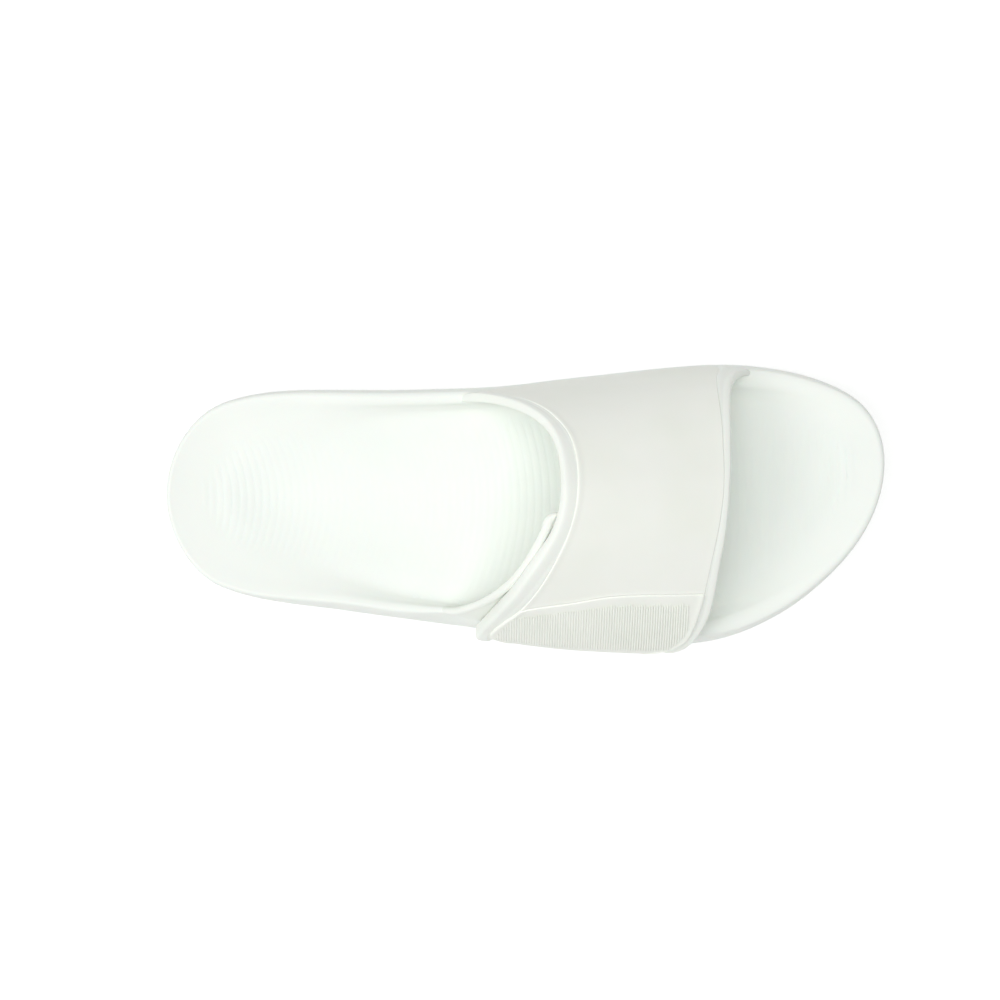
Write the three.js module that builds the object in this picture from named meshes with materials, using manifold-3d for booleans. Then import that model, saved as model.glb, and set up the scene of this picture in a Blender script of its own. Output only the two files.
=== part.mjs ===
// Sport slide sandal, right shoe. Millimetres. Toe along +X, big toe side along +Y, ground at z = 0.
// The moulded foam sole carries two straps shaped on one last: the main strap from the big toe side
// and the side wing from the little toe side. A touch fastener holds them where they lap.
import * as THREE from 'three'
import Module from 'manifold-3d'

const wasm = await Module()
wasm.setup()

// Named sizes
const LENGTH = 280
const BALL_WIDTH = 109
const RIM_HEIGHT = 37
const TOE_SPRING = 9
const HEEL_SPRING = 3
const ARCH_LIFT = 1.8
const INSTEP_HEIGHT = 84
const LEDGE = 15
const ROOT_INSET = 1.2
const STRAP_WALL = 2.4
const BEAD_WALL = 3.4
const BEAD_WIDTH = 4.6
const WING_WALL = 2.4
const PATCH_WALL = 0.7
const COVER_WALL = 1.1
const GRIP_WALL = 1.4
const GAP = 0.3
const TRAY_GAP = 0.4
const TREAD_DEPTH = 2
const GROOVE_WIDTH = 3
const GROOVE_BOW = 14
const GROOVE_MARGIN = 9
const MEDIAL_SPRING = 26
const LATERAL_SPRING = 24
const COVER_CORNER = 5
const GRIP_CORNER = 4
const PATCH_CORNER = 5
const ROOM_DEPTH = 8
const EDGE_ROUND = 1.2
const PATCH_ROUND = 0.6
const SIDE_TUCK = 1.3

// Sole outline from above. at is a share of LENGTH, centre and half are shares of BALL_WIDTH,
// where half is the fullness of an ellipse-like outline.
const OUTLINE = [
  { at: 0.00, centre: 0.021, half: 1.400 },
  { at: 0.05, centre: 0.018, half: 1.315 },
  { at: 0.10, centre: 0.016, half: 1.165 },
  { at: 0.16, centre: 0.0115, half: 1.032 },
  { at: 0.22, centre: 0.0036, half: 0.942 },
  { at: 0.30, centre: -0.011, half: 0.882 },
  { at: 0.38, centre: -0.023, half: 0.865 },
  { at: 0.46, centre: -0.032, half: 0.878 },
  { at: 0.55, centre: -0.034, half: 0.938 },
  { at: 0.63, centre: -0.030, half: 1.006 },
  { at: 0.70, centre: -0.023, half: 1.086 },
  { at: 0.78, centre: -0.0036, half: 1.180 },
  { at: 0.86, centre: 0.032, half: 1.246 },
  { at: 0.93, centre: 0.077, half: 1.300 },
  { at: 1.00, centre: 0.132, half: 1.410 }
]

// Rim, footbed edge and footbed centre as shares of RIM_HEIGHT. lip and foot say how far inside
// the outline the rim ends and the footbed begins, as shares of the same height.
const PROFILE = [
  { at: 0.00, medialRim: 0.97, lateralRim: 0.97, medialEdge: 0.82, lateralEdge: 0.82, bed: 0.76, lip: 0.08, foot: 0.29 },
  { at: 0.10, medialRim: 1.00, lateralRim: 0.99, medialEdge: 0.86, lateralEdge: 0.84, bed: 0.71, lip: 0.12, foot: 0.26 },
  { at: 0.25, medialRim: 1.03, lateralRim: 0.96, medialEdge: 0.89, lateralEdge: 0.82, bed: 0.70, lip: 0.145, foot: 0.235 },
  { at: 0.37, medialRim: 1.02, lateralRim: 0.93, medialEdge: 0.90, lateralEdge: 0.80, bed: 0.70, lip: 0.145, foot: 0.23 },
  { at: 0.42, medialRim: 1.01, lateralRim: 0.88, medialEdge: 0.88, lateralEdge: 0.78, bed: 0.69, lip: 0.145, foot: 0.23 },
  { at: 0.48, medialRim: 0.86, lateralRim: 0.81, medialEdge: 0.80, lateralEdge: 0.73, bed: 0.66, lip: 0.145, foot: 0.23 },
  { at: 0.56, medialRim: 0.75, lateralRim: 0.74, medialEdge: 0.69, lateralEdge: 0.66, bed: 0.60, lip: 0.14, foot: 0.23 },
  { at: 0.66, medialRim: 0.67, lateralRim: 0.68, medialEdge: 0.58, lateralEdge: 0.58, bed: 0.54, lip: 0.13, foot: 0.23 },
  { at: 0.75, medialRim: 0.65, lateralRim: 0.67, medialEdge: 0.555, lateralEdge: 0.555, bed: 0.515, lip: 0.12, foot: 0.23 },
  { at: 0.85, medialRim: 0.69, lateralRim: 0.69, medialEdge: 0.585, lateralEdge: 0.58, bed: 0.545, lip: 0.11, foot: 0.22 },
  { at: 0.93, medialRim: 0.73, lateralRim: 0.73, medialEdge: 0.65, lateralEdge: 0.65, bed: 0.61, lip: 0.10, foot: 0.20 },
  { at: 1.00, medialRim: 0.77, lateralRim: 0.77, medialEdge: 0.73, lateralEdge: 0.73, bed: 0.70, lip: 0.08, foot: 0.18 }
]

// Up the side of the sole: inset from the outline and height, with the groove all round at 9 to 10.
const SIDE = [[6, 0], [2.8, 0], [1.1, 1.1], [0.5, 3], [0.4, 8], [1.5, 8.9], [1.5, 10.1], [0.3, 11]]
// Round over the rim: inset, share of the tuck on the little toe side, and depth below the rim.
const SHOULDER = [[0.5, 0.5, 6], [1.2, 1, 2.2], [2, 1, 0.6]]
// Down the inside: share of the way from lip to foot, and share of the drop to the footbed's edge.
const INNER_WALL = [[0, 0.08], [0.45, 0.62], [1, 1]]

// Top line of the last: crown height as a share of INSTEP_HEIGHT, ridge as a share of half the ball.
const LAST = [
  { at: 0.34, crown: 1.220, ridge: 0.04 },
  { at: 0.44, crown: 1.125, ridge: 0.06 },
  { at: 0.55, crown: 1.000, ridge: 0.08 },
  { at: 0.66, crown: 0.855, ridge: 0.12 },
  { at: 0.78, crown: 0.695, ridge: 0.17 },
  { at: 0.86, crown: 0.620, ridge: 0.20 }
]

// How each side of the last leaves the sole and reaches the ridge.
const MEDIAL = { spring: MEDIAL_SPRING, rise: 0.46, lean: 0.05, reach: 0.56 }
const LATERAL = { spring: LATERAL_SPRING, rise: 0.34, lean: 0.10, reach: 0.52 }
const LEG = 0.1
const WALL_LEAN = 0.06

// Edges of the straps. around runs from the root on the big toe side, over the foot, to the root
// on the little toe side. rear and front are shares of LENGTH.
const STRAP = [
  { around: 0.000, rear: 0.500, front: 0.812 },
  { around: 0.050, rear: 0.478, front: 0.830 },
  { around: 0.100, rear: 0.452, front: 0.843 },
  { around: 0.125, rear: 0.424, front: 0.838 },
  { around: 0.150, rear: 0.415, front: 0.825 },
  { around: 0.170, rear: 0.425, front: 0.815 },
  { around: 0.200, rear: 0.451, front: 0.798 },
  { around: 0.240, rear: 0.479, front: 0.784 },
  { around: 0.280, rear: 0.501, front: 0.779 },
  { around: 0.330, rear: 0.5215, front: 0.777 },
  { around: 0.380, rear: 0.5345, front: 0.776 },
  { around: 0.430, rear: 0.541, front: 0.775 },
  { around: 0.480, rear: 0.542, front: 0.773 },
  { around: 0.520, rear: 0.539, front: 0.769 },
  { around: 0.560, rear: 0.5295, front: 0.7645 },
  { around: 0.600, rear: 0.514, front: 0.760 },
  { around: 0.650, rear: 0.494, front: 0.7545 },
  { around: 0.700, rear: 0.477, front: 0.751 },
  { around: 0.750, rear: 0.4595, front: 0.7465 },
  { around: 0.800, rear: 0.4455, front: 0.738 },
  { around: 0.840, rear: 0.437, front: 0.728 },
  { around: 0.872, rear: 0.432, front: 0.716 },
  { around: 0.888, rear: 0.431, front: 0.705 }
]
const COVER = [
  { around: 0.115, rear: 0.466, front: 0.762 },
  { around: 0.140, rear: 0.452, front: 0.765 },
  { around: 0.170, rear: 0.453, front: 0.764 },
  { around: 0.200, rear: 0.472, front: 0.760 },
  { around: 0.240, rear: 0.498, front: 0.757 },
  { around: 0.280, rear: 0.519, front: 0.756 },
  { around: 0.330, rear: 0.539, front: 0.757 },
  { around: 0.380, rear: 0.554, front: 0.759 },
  { around: 0.430, rear: 0.561, front: 0.759 },
  { around: 0.480, rear: 0.5615, front: 0.758 },
  { around: 0.520, rear: 0.5575, front: 0.755 },
  { around: 0.560, rear: 0.548, front: 0.750 },
  { around: 0.610, rear: 0.5325, front: 0.743 },
  { around: 0.670, rear: 0.513, front: 0.737 },
  { around: 0.730, rear: 0.491, front: 0.732 },
  { around: 0.780, rear: 0.4685, front: 0.726 },
  { around: 0.820, rear: 0.456, front: 0.719 },
  { around: 0.881, rear: 0.448, front: 0.695 }
]
const WING = [
  { around: 0.540, rear: 0.5235, front: 0.742 },
  { around: 0.570, rear: 0.5175, front: 0.741 },
  { around: 0.610, rear: 0.505, front: 0.737 },
  { around: 0.650, rear: 0.4915, front: 0.733 },
  { around: 0.700, rear: 0.471, front: 0.728 },
  { around: 0.750, rear: 0.4455, front: 0.722 },
  { around: 0.800, rear: 0.417, front: 0.716 },
  { around: 0.840, rear: 0.393, front: 0.711 },
  { around: 0.858, rear: 0.378, front: 0.712 },
  { around: 0.878, rear: 0.374, front: 0.717 },
  { around: 0.900, rear: 0.386, front: 0.722 },
  { around: 0.950, rear: 0.420, front: 0.712 },
  { around: 1.000, rear: 0.455, front: 0.690 }
]

// Width of the strap's two beads as shares of BEAD_WIDTH
const BEAD = [
  { around: 0.00, rear: 0.78, front: 0.56 },
  { around: 0.20, rear: 0.62, front: 0.60 },
  { around: 0.34, rear: 0.70, front: 0.62 },
  { around: 0.46, rear: 1.00, front: 0.65 },
  { around: 0.62, rear: 1.00, front: 0.65 },
  { around: 0.78, rear: 0.78, front: 0.58 },
  { around: 0.888, rear: 0.70, front: 0.54 }
]

// Upper line of the grip panel across the tab: at is a share of LENGTH. GRIP_SPLIT is half the way
// round between it and the cover.
const GRIP_LINE = [
  { at: 0.44, around: 0.755 },
  { at: 0.49, around: 0.732 },
  { at: 0.52, around: 0.717 },
  { at: 0.56, around: 0.703 },
  { at: 0.60, around: 0.691 },
  { at: 0.64, around: 0.688 },
  { at: 0.70, around: 0.692 },
  { at: 0.76, around: 0.702 }
]
const GRIP_SPLIT = 0.0022

// How far the main strap stands off the last: nothing on the big toe side, the full lap stack
// where the side wing and the fastener lie under it.
const LAP = WING_WALL + 2 * PATCH_WALL + 3 * GAP
const LAP_START = 0.42
const LAP_FULL = 0.60

// Smooth curve through one column of a table, with tangents weighted by the neighbouring spans
function smooth(table, key, column, at) {
  const n = table.length
  if (at <= table[0][key]) return table[0][column]
  if (at >= table[n - 1][key]) return table[n - 1][column]
  let i = 0
  while (at > table[i + 1][key]) i++
  const span = (k) => table[k + 1][key] - table[k][key]
  const slope = (k) => (table[k + 1][column] - table[k][column]) / span(k)
  const tangent = (k) => {
    if (k === 0) return slope(0)
    if (k === n - 1) return slope(n - 2)
    return (slope(k - 1) * span(k) + slope(k) * span(k - 1)) / (span(k - 1) + span(k))
  }
  const w = span(i)
  const u = (at - table[i][key]) / w
  const h = u * u * (3 - 2 * u)
  const bend = u * (1 - u) * w * (tangent(i) * (1 - u) - tangent(i + 1) * u)
  return table[i][column] * (1 - h) + table[i + 1][column] * h + bend
}

// Straps and the rooms cut for them share sections at every STEP around the foot and SPANS across
const STEP = 0.0175
const SPANS = 8
const mix = (a, b, t) => a + (b - a) * t
const clamp = (v, lo, hi) => Math.min(hi, Math.max(lo, v))
const ease = (v) => {
  const t = clamp(v, 0, 1)
  return t * t * (3 - 2 * t)
}

// Sole outline on each side, and the lift of the underside above the ground
function outlineY(x, side) {
  const t = clamp(x / LENGTH, 0, 1)
  const reach = smooth(OUTLINE, 'at', 'half', t) * BALL_WIDTH / 2 * Math.sqrt(4 * t * (1 - t))
  return smooth(OUTLINE, 'at', 'centre', t) * BALL_WIDTH + side * reach
}

function underside(t) {
  if (t < 0.06) return HEEL_SPRING * ((0.06 - t) / 0.06) ** 2
  if (t > 0.76) return TOE_SPRING * ((t - 0.76) / 0.24) ** 2
  if (t > 0.36 && t < 0.56) return ARCH_LIFT * Math.sin(Math.PI * (t - 0.36) / 0.2) ** 2
  return 0
}

// One cross section of the last: across and up at a place around the foot
function lastSection(x, around) {
  const t = x / LENGTH
  const medialHalf = around <= 0.5
  const side = medialHalf ? MEDIAL : LATERAL
  const ridge = smooth(LAST, 'at', 'ridge', t) * BALL_WIDTH / 2
  const crown = smooth(LAST, 'at', 'crown', t) * INSTEP_HEIGHT
  const sign = medialHalf ? 1 : -1
  const wall = medialHalf ? STRAP_WALL : WING_WALL
  const foot = outlineY(x, sign) - sign * (wall + ROOT_INSET)
  const turn = medialHalf ? around : 1 - around
  if (turn < LEG) {
    const z = LEDGE + (side.spring - LEDGE) * turn / LEG
    return [foot + sign * WALL_LEAN * (side.spring - z), z]
  }
  const u = (turn - LEG) / (0.5 - LEG)
  const width = foot - ridge
  const height = crown - side.spring
  const b0 = (1 - u) ** 3
  const b1 = 3 * (1 - u) ** 2 * u
  const b2 = 3 * (1 - u) * u * u
  const b3 = u ** 3
  const y = b0 * foot + b1 * (foot - side.lean * width) + b2 * (ridge + side.reach * width) + b3 * ridge
  const z = b0 * side.spring + b1 * (side.spring + side.rise * height) + (b2 + b3) * crown
  return [y, z]
}

// A point at a given height off the last
function lastPoint(x, around, off) {
  const e = 0.001
  const [y, z] = lastSection(x, around)
  const [ya, za] = lastSection(x, around - e)
  const [yb, zb] = lastSection(x, around + e)
  const [yc, zc] = lastSection(x - 0.5, around)
  const [yd, zd] = lastSection(x + 0.5, around)
  const along = new THREE.Vector3(1, yd - yc, zd - zc)
  const across = new THREE.Vector3(0, yb - ya, zb - za)
  const out = along.cross(across).normalize()
  if (out.y * y + out.z * (z - 20) < 0) out.negate()
  return [x + out.x * off, y + out.y * off, z + out.z * off]
}

const lap = (around) => LAP * ease((around - LAP_START) / (LAP_FULL - LAP_START))

// Triangles across the end of a section whose points run out along the skin and back inside it
function zipCap(flat) {
  const faces = []
  let i = 0
  let j = flat.length - 1
  while (i + 1 < j) {
    if (flat[i + 1][0] <= flat[j - 1][0]) {
      faces.push([i, i + 1, j])
      i++
    } else {
      faces.push([i, j - 1, j])
      j--
    }
  }
  return faces
}

// Closed solid from rings of points; the first and last ring are capped
function loftRings(rings, flat) {
  const count = rings[0].length
  const points = rings.flat()
  const faces = []
  for (let r = 0; r + 1 < rings.length; r++) {
    for (let k = 0; k < count; k++) {
      const a = r * count + k
      const b = r * count + (k + 1) % count
      faces.push([a, b, a + count], [b, b + count, a + count])
    }
  }
  const base = (rings.length - 1) * count
  for (const [a, b, c] of zipCap(flat[0])) faces.push([a, c, b])
  for (const [a, b, c] of zipCap(flat[1])) faces.push([base + a, base + b, base + c])
  return solidFrom(points, faces)
}

// Manifold solid from points and faces, turned right side out if need be
function solidFrom(points, faces) {
  let volume = 0
  for (const [a, b, c] of faces) {
    const [p, q, r] = [points[a], points[b], points[c]]
    volume += p[0] * (q[1] * r[2] - q[2] * r[1]) + p[1] * (q[2] * r[0] - q[0] * r[2])
    volume += p[2] * (q[0] * r[1] - q[1] * r[0])
  }
  const turned = volume > 0 ? faces : faces.map(([a, b, c]) => [a, c, b])
  return new wasm.Manifold(new wasm.Mesh({
    numProp: 3,
    vertProperties: new Float32Array(points.flat()),
    triVerts: new Uint32Array(turned.flat())
  }))
}

// A strap piece laid on the last. edges is a table with rear and front columns, start and end are
// places around the foot (or functions of x), inner is the stand-off of its inner skin, and shape
// gives the outer skin as distance from the rear edge and height for a given width.
function strapPiece({ edges, start, end, inner, shape, corner = 0, rearGrow = 0, frontGrow = 0, steps, soft = [1, 1] }) {
  const value = (v, x) => (typeof v === 'function' ? v(x) : v)
  const aroundAt = (x, v) => mix(value(start, x), value(end, x), v)
  const edgeX = (column, v) => {
    let x = LENGTH * 0.6
    for (let i = 0; i < 12; i++) x = LENGTH * smooth(edges, 'around', column, aroundAt(x, v))
    return x
  }
  const middle = LENGTH * 0.6
  const from = lastPoint(middle, aroundAt(middle, 0), inner(0.5))
  let reach = 0
  let before = from
  for (let i = 1; i <= 40; i++) {
    const p = lastPoint(middle, aroundAt(middle, i / 40), inner(0.5))
    reach += Math.hypot(p[1] - before[1], p[2] - before[2])
    before = p
  }
  const round = corner / reach
  const places = []
  if (corner > 0) {
    for (const s of [0, 0.12, 0.4, 1]) places.push(s * round)
    for (let i = 1; i < steps; i++) places.push(mix(round, 1 - round, i / steps))
    for (const s of [1, 0.4, 0.12, 0]) places.push(1 - s * round)
  } else {
    places.push(0)
    for (let i = 1; i * STEP < end - STEP * 0.3; i++) {
      if (i * STEP > start + STEP * 0.3) places.push((i * STEP - start) / (end - start))
    }
    places.push(1)
  }
  const rings = []
  const flats = []
  places.forEach((v, index) => {
    const near = Math.min(v, 1 - v) * reach
    const pull = corner > 0 && near < corner ? corner - Math.sqrt(corner ** 2 - (corner - near) ** 2) : 0
    const xr = edgeX('rear', v) - rearGrow + pull
    const xf = edgeX('front', v) + frontGrow - pull
    const width = xf - xr
    const end0 = index === 0 ? soft[0] : index === places.length - 1 ? soft[1] : 1
    const ring = []
    const flat = []
    for (const [distance, height] of shape(width, aroundAt(middle, v))) {
      const x = xr + distance
      const around = aroundAt(x, v)
      ring.push(lastPoint(x, around, inner(around) + height * end0))
      flat.push([distance, height])
    }
    rings.push(ring)
    flats.push(flat)
  })
  return loftRings(rings, [flats[0], flats[flats.length - 1]])
}

// Outer skin of a plain panel with rounded edges, then its inner skin on the way back
function panelShape(wall, round, spans) {
  return (width) => {
    const list = [[0, wall * 0.35], [round * 0.3, wall * 0.8]]
    for (let i = 0; i <= spans; i++) list.push([mix(round, width - round, i / spans), wall])
    list.push([width - round * 0.3, wall * 0.8], [width, wall * 0.35])
    for (let i = spans; i >= 0; i--) list.push([mix(round * 0.5, width - round * 0.5, i / spans), 0])
    return list
  }
}

// The main strap has a broad bead along its rear edge and a narrow one in front
function strapShape(width, around) {
  const rear = BEAD_WIDTH * smooth(BEAD, 'around', 'rear', around)
  const front = width - BEAD_WIDTH * smooth(BEAD, 'around', 'front', around)
  const list = [[0, BEAD_WALL * 0.35], [0.4, BEAD_WALL * 0.8], [1.2, BEAD_WALL], [rear - 0.6, BEAD_WALL]]
  for (let i = 0; i <= SPANS; i++) list.push([mix(rear, front, i / SPANS), STRAP_WALL])
  list.push([front + 0.5, BEAD_WALL], [width - 0.8, BEAD_WALL], [width - 0.3, BEAD_WALL * 0.8])
  list.push([width, BEAD_WALL * 0.35])
  for (let i = SPANS; i >= 0; i--) list.push([mix(0.6, width - 0.6, i / SPANS), 0])
  return list
}

// The room a strap root needs in the sole: a slab from just inside the strap to outside the rim
function rootRoom(edges, start, end) {
  const slab = (width) => {
    const list = []
    for (let i = 0; i <= SPANS; i++) list.push([width * i / SPANS, ROOM_DEPTH + GAP])
    for (let i = SPANS; i >= 0; i--) list.push([width * i / SPANS, 0])
    return list
  }
  return strapPiece({
    edges, start, end, inner: () => -GAP, shape: slab, rearGrow: GAP * 1.7, frontGrow: GAP * 1.4
  })
}

// Moulded sole: rings climb from the tread, round the side and the rim, down into the footbed
function soleSolid() {
  const count = 88
  const half = count / 2
  const stations = []
  for (let k = 0; k < count; k++) {
    const angle = 2 * Math.PI * k / count
    const side = k <= half ? 1 : -1
    const x = LENGTH * (1 - Math.cos(angle)) / 2
    stations.push({ x, y: outlineY(x, side), side, t: x / LENGTH })
  }
  stations.forEach((s, k) => {
    const a = stations[(k + count - 1) % count]
    const b = stations[(k + 1) % count]
    const length = Math.hypot(b.x - a.x, b.y - a.y)
    s.nx = (b.y - a.y) / length
    s.ny = -(b.x - a.x) / length
  })
  const heights = (s) => {
    const read = (column) => smooth(PROFILE, 'at', column, s.t) * RIM_HEIGHT
    const rim = read(s.side > 0 ? 'medialRim' : 'lateralRim')
    const edge = read(s.side > 0 ? 'medialEdge' : 'lateralEdge')
    const tuck = s.side > 0 ? 0 : SIDE_TUCK * Math.sin(Math.PI * s.t) ** 0.5
    return { low: underside(s.t), rim, edge, lip: read('lip') + tuck * 0.5, foot: read('foot'), tuck }
  }
  const inset = (s, d, z) => [s.x + s.nx * d, s.y + s.ny * d, z]
  const rows = []
  const spine = (s, share, z) => {
    const foot = heights(s).foot
    const x = LENGTH * mix(0.16, 0.82, s.t)
    const y = (outlineY(x, 1) + outlineY(x, -1)) / 2
    const p = inset(s, foot, 0)
    return [mix(p[0], x, share), mix(p[1], y, share), z]
  }
  const under = (share) => stations.map((s) => {
    const p = spine(s, share, 0)
    return [p[0], p[1], underside(p[0] / LENGTH)]
  })
  rows.push(under(0.5))
  for (const [d, up] of SIDE) {
    rows.push(stations.map((s) => {
      const p = inset(s, d, 0)
      const low = up > 0 ? underside(s.t) : underside(p[0] / LENGTH)
      return [p[0], p[1], low + up * (1 - 0.3 * low / TOE_SPRING)]
    }))
  }
  rows.push(stations.map((s) => inset(s, 0, mix(heights(s).low, heights(s).rim, 0.55))))
  for (const [d, tuck, drop] of SHOULDER) {
    rows.push(stations.map((s) => {
      const h = heights(s)
      const narrow = h.lip / (RIM_HEIGHT * 0.145)
      return inset(s, d * Math.min(1, narrow) + tuck * h.tuck, h.rim - drop * mix(0.5, 1, clamp((h.rim / RIM_HEIGHT - 0.65) / 0.32, 0, 1)))
    }))
  }
  rows.push(stations.map((s) => inset(s, heights(s).lip * 0.6 + heights(s).tuck * 0.4, heights(s).rim)))
  for (const [share, drop] of INNER_WALL) {
    rows.push(stations.map((s) => {
      const h = heights(s)
      return inset(s, mix(h.lip, h.foot, share), mix(h.rim, h.edge, drop))
    }))
  }
  for (const share of [0.25, 0.5, 0.75]) {
    rows.push(stations.map((s) => {
      const p = spine(s, share, 0)
      const bed = smooth(PROFILE, 'at', 'bed', p[0] / LENGTH) * RIM_HEIGHT
      const edge = smooth(PROFILE, 'at', s.side > 0 ? 'medialEdge' : 'lateralEdge', p[0] / LENGTH) * RIM_HEIGHT
      return [p[0], p[1], mix(bed, edge, (1 - share) ** 2.2)]
    }))
  }
  // The two sides share one row of points along the spine, under the sole and on the footbed
  const points = rows.flat()
  const spineIndex = (top) => {
    const first = points.length
    for (let k = 0; k <= half; k++) {
      const p = spine(stations[k], 1, 0)
      const z = top ? smooth(PROFILE, 'at', 'bed', p[0] / LENGTH) * RIM_HEIGHT : underside(p[0] / LENGTH)
      points.push([p[0], p[1], z])
    }
    return (k) => first + (k <= half ? k : count - k)
  }
  const below = spineIndex(false)
  const above = spineIndex(true)
  const faces = []
  const quad = (a, b, c, d) => faces.push([a, b, c], [a, c, d])
  for (let k = 0; k < count; k++) {
    const n = (k + 1) % count
    quad(below(k), below(n === 0 ? count : n), n, k)
    for (let r = 0; r + 1 < rows.length; r++) quad(r * count + k, r * count + n, (r + 1) * count + n, (r + 1) * count + k)
    const top = (rows.length - 1) * count
    quad(top + k, top + n, above(n === 0 ? count : n), above(k))
  }
  return solidFrom(points, faces)
}

// Tread grooves bowed toward the toe, cut into the flat heel and forefoot
function treadGroove(x, reach) {
  const floor = []
  const count = 10
  for (let i = 0; i <= count; i++) {
    const v = mix(-1, 1, i / count)
    floor.push([x + GROOVE_BOW * (1 - v * v) * (reach / 40) ** 2, v * reach])
  }
  const centre = (outlineY(x, 1) + outlineY(x, -1)) / 2
  const rings = floor.map(([gx, gy]) => [
    [gx - GROOVE_WIDTH / 2, gy + centre, -2],
    [gx + GROOVE_WIDTH / 2, gy + centre, -2],
    [gx + GROOVE_WIDTH * 0.32, gy + centre, TREAD_DEPTH],
    [gx - GROOVE_WIDTH * 0.32, gy + centre, TREAD_DEPTH]
  ])
  const flat = [[0, 0], [1, 0], [1, 1], [0, 1]]
  return loftRings(rings, [flat, flat])
}

function soleWithRooms() {
  let sole = soleSolid()
  sole = sole.subtract(rootRoom(STRAP, -0.0027, 0.30))
  sole = sole.subtract(rootRoom(WING, 0.72, 1.0033))
  for (const at of [0.075, 0.115, 0.155, 0.195, 0.235, 0.275, 0.315]) {
    const reach = Math.min(outlineY(at * LENGTH, 1), -outlineY(at * LENGTH, -1)) - GROOVE_MARGIN
    sole = sole.subtract(treadGroove(at * LENGTH, reach))
  }
  for (const at of [0.565, 0.605, 0.645, 0.685, 0.725]) {
    const reach = Math.min(outlineY(at * LENGTH, 1), -outlineY(at * LENGTH, -1)) - GROOVE_MARGIN
    sole = sole.subtract(treadGroove(at * LENGTH, reach))
  }
  return sole
}

function geometryOf(solid) {
  const mesh = solid.getMesh()
  const geometry = new THREE.BufferGeometry()
  geometry.setAttribute('position', new THREE.BufferAttribute(new Float32Array(mesh.vertProperties), 3))
  geometry.setIndex(new THREE.BufferAttribute(new Uint32Array(mesh.triVerts), 1))
  return geometry
}

const foam = new THREE.MeshStandardMaterial({ color: 0xf6fbf5, roughness: 0.75 })
const panel = new THREE.MeshStandardMaterial({ color: 0xeff2e9, roughness: 0.6 })
const hooks = new THREE.MeshStandardMaterial({ color: 0xe6e8e0, roughness: 0.95 })

const gripLine = (x) => smooth(GRIP_LINE, 'at', 'around', x / LENGTH)
const pieces = {
  sole: [soleWithRooms(), foam],
  strap: [strapPiece({
    edges: STRAP, start: 0, end: 0.888, inner: lap, shape: strapShape, soft: [1, 0.75]
  }), foam],
  strap_cover: [strapPiece({
    edges: COVER, start: 0.115, end: (x) => gripLine(x) - GRIP_SPLIT,
    inner: (around) => lap(around) + STRAP_WALL + TRAY_GAP, shape: panelShape(COVER_WALL, EDGE_ROUND, SPANS), corner: COVER_CORNER,
    steps: 20, soft: [0.6, 0.8]
  }), panel],
  grip_panel: [strapPiece({
    edges: COVER, start: (x) => gripLine(x) + GRIP_SPLIT, end: 0.879,
    inner: (around) => lap(around) + STRAP_WALL + TRAY_GAP, shape: panelShape(GRIP_WALL, EDGE_ROUND, SPANS), corner: GRIP_CORNER,
    steps: 9, soft: [0.8, 0.6]
  }), panel],
  side_wing: [strapPiece({
    edges: WING, start: 0.541, end: 1, inner: () => 0, shape: panelShape(WING_WALL, EDGE_ROUND, SPANS),
    soft: [0.6, 1]
  }), foam],
  loop_patch: [strapPiece({
    edges: [{ around: 0, rear: 0.535, front: 0.695 }, { around: 1, rear: 0.535, front: 0.695 }],
    start: 0.66, end: 0.835, inner: () => WING_WALL + GAP, shape: panelShape(PATCH_WALL, PATCH_ROUND, 4), corner: PATCH_CORNER,
    steps: 4, soft: [0.8, 0.8]
  }), hooks],
  hook_patch: [strapPiece({
    edges: [{ around: 0, rear: 0.535, front: 0.695 }, { around: 1, rear: 0.535, front: 0.695 }],
    start: 0.66, end: 0.835, inner: () => WING_WALL + PATCH_WALL + 2 * GAP, shape: panelShape(PATCH_WALL, PATCH_ROUND, 4),
    corner: PATCH_CORNER, steps: 4, soft: [0.8, 0.8]
  }), hooks]
}

// The row's origin is the middle of the whole shoe's box, on the ground
const group = new THREE.Group()
const box = new THREE.Box3()
for (const [name, [solid, material]] of Object.entries(pieces)) {
  const geometry = geometryOf(solid)
  geometry.computeBoundingBox()
  box.union(geometry.boundingBox)
  const mesh = new THREE.Mesh(geometry, material)
  mesh.name = name
  group.add(mesh)
}
const middle = box.getCenter(new THREE.Vector3())
for (const mesh of group.children) {
  mesh.geometry.translate(-middle.x, -middle.y, -box.min.z)
  mesh.geometry.computeVertexNormals()
}

export default group
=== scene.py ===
# Sport slide sandal, right shoe: a moulded foam sole, and a main strap that laps over a side wing.
# Sizes are millimetres on the last, heel at x = 0 and toe along +x; toRow puts them in the frame.
import math

import bmesh
import bpy
import numpy as np
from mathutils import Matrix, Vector


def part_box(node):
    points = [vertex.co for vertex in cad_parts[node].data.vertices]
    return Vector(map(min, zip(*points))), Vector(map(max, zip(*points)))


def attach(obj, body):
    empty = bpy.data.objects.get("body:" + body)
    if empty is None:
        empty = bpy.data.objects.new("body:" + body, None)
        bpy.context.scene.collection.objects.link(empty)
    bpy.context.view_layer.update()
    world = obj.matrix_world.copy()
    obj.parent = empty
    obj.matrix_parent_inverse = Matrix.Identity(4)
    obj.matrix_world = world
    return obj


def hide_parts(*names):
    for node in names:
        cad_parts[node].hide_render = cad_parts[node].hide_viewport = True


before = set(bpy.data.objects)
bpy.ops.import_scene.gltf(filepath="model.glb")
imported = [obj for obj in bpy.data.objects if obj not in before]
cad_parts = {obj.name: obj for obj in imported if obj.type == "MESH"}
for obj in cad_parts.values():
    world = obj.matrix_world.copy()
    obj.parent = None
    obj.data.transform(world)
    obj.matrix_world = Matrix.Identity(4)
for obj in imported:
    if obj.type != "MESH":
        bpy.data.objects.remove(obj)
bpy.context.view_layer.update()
print("frame loaded")

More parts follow.
